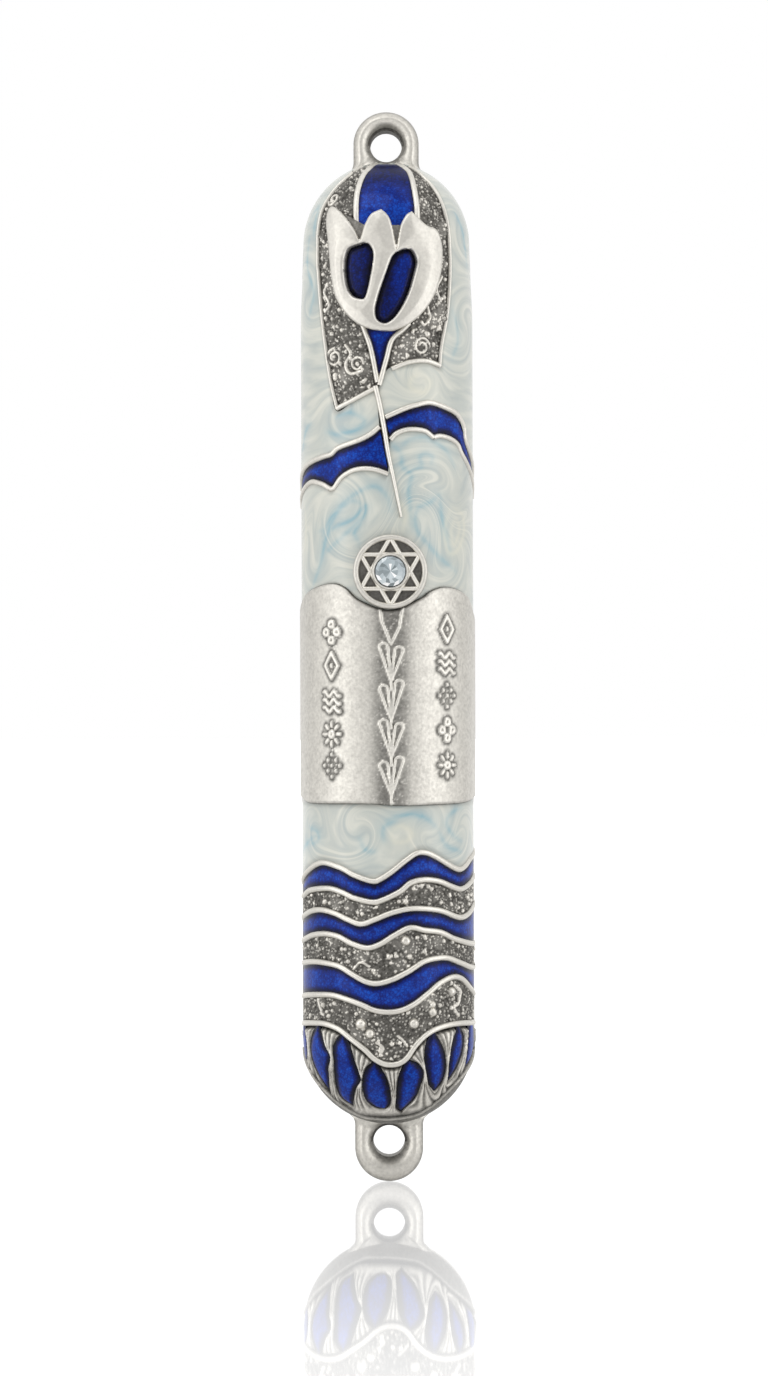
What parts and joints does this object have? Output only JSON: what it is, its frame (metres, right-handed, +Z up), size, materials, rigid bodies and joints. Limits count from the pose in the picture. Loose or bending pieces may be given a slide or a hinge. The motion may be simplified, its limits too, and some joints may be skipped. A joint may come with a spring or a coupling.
{
  "type": "mezuzah case",
  "caption": "Long domed case with a D-shaped section, enamelled cast front, screw ear at each end, lift-off back cover and a rolled scroll inside.",
  "frame": {"origin": "midway between the two screw holes, on the plane of the wall behind the case", "axes": "+Z up the doorpost along the case, -Y towards the viewer at the front, +X to the viewer's right"},
  "size_m": [0.0192, 0.0132, 0.1148],
  "materials": {
    "cast_pewter": "antiqued cast pewter, polished on the high places and dark in the recesses",
    "pearl_enamel": "glossy pearl white enamel with pale blue swirls",
    "cobalt_enamel": "glossy translucent cobalt enamel with a fine sparkle",
    "crystal": "faceted clear crystal with a mirror foil behind",
    "cover_sheet": "satin brushed sheet",
    "parchment": "matt scraped writing skin"
  },
  "bodies": {
    "case": {"case_shell": "cast_pewter", "mounting_ear_top": "cast_pewter", "mounting_ear_bottom": "cast_pewter", "pearl_enamel_upper_left": "pearl_enamel", "pearl_enamel_upper_right": "pearl_enamel", "pearl_enamel_middle": "pearl_enamel", "pearl_enamel_lower": "pearl_enamel", "column_enamel": "cobalt_enamel", "ribbon_enamel_left": "cobalt_enamel", "ribbon_enamel_right": "cobalt_enamel", "wave_enamel_top": "cobalt_enamel", "wave_enamel_middle": "cobalt_enamel", "wave_enamel_bottom": "cobalt_enamel", "fringe_enamel": "cobalt_enamel", "tablets_plaque": "cast_pewter", "star_medallion": "cast_pewter", "crystal": "crystal", "tulip_emblem": "cast_pewter", "stem_wire": "cast_pewter"},
    "cover": {"back_cover": "cover_sheet"},
    "rolled_scroll": {"scroll": "parchment"}
  },
  "joints": [
    {"name": "back_cover_lift", "type": "slide", "parent": "case", "child": "cover", "axis": [0, 1, 0], "range_m": [0, 0.024]},
    {"name": "scroll_lift", "type": "slide", "parent": "case", "child": "rolled_scroll", "axis": [0, 1, 0], "range_m": [0, 0.012]}
  ],
  "couplings": [
    {"joint": "scroll_lift", "follows": "back_cover_lift", "ratio": 0.5}
  ]
}
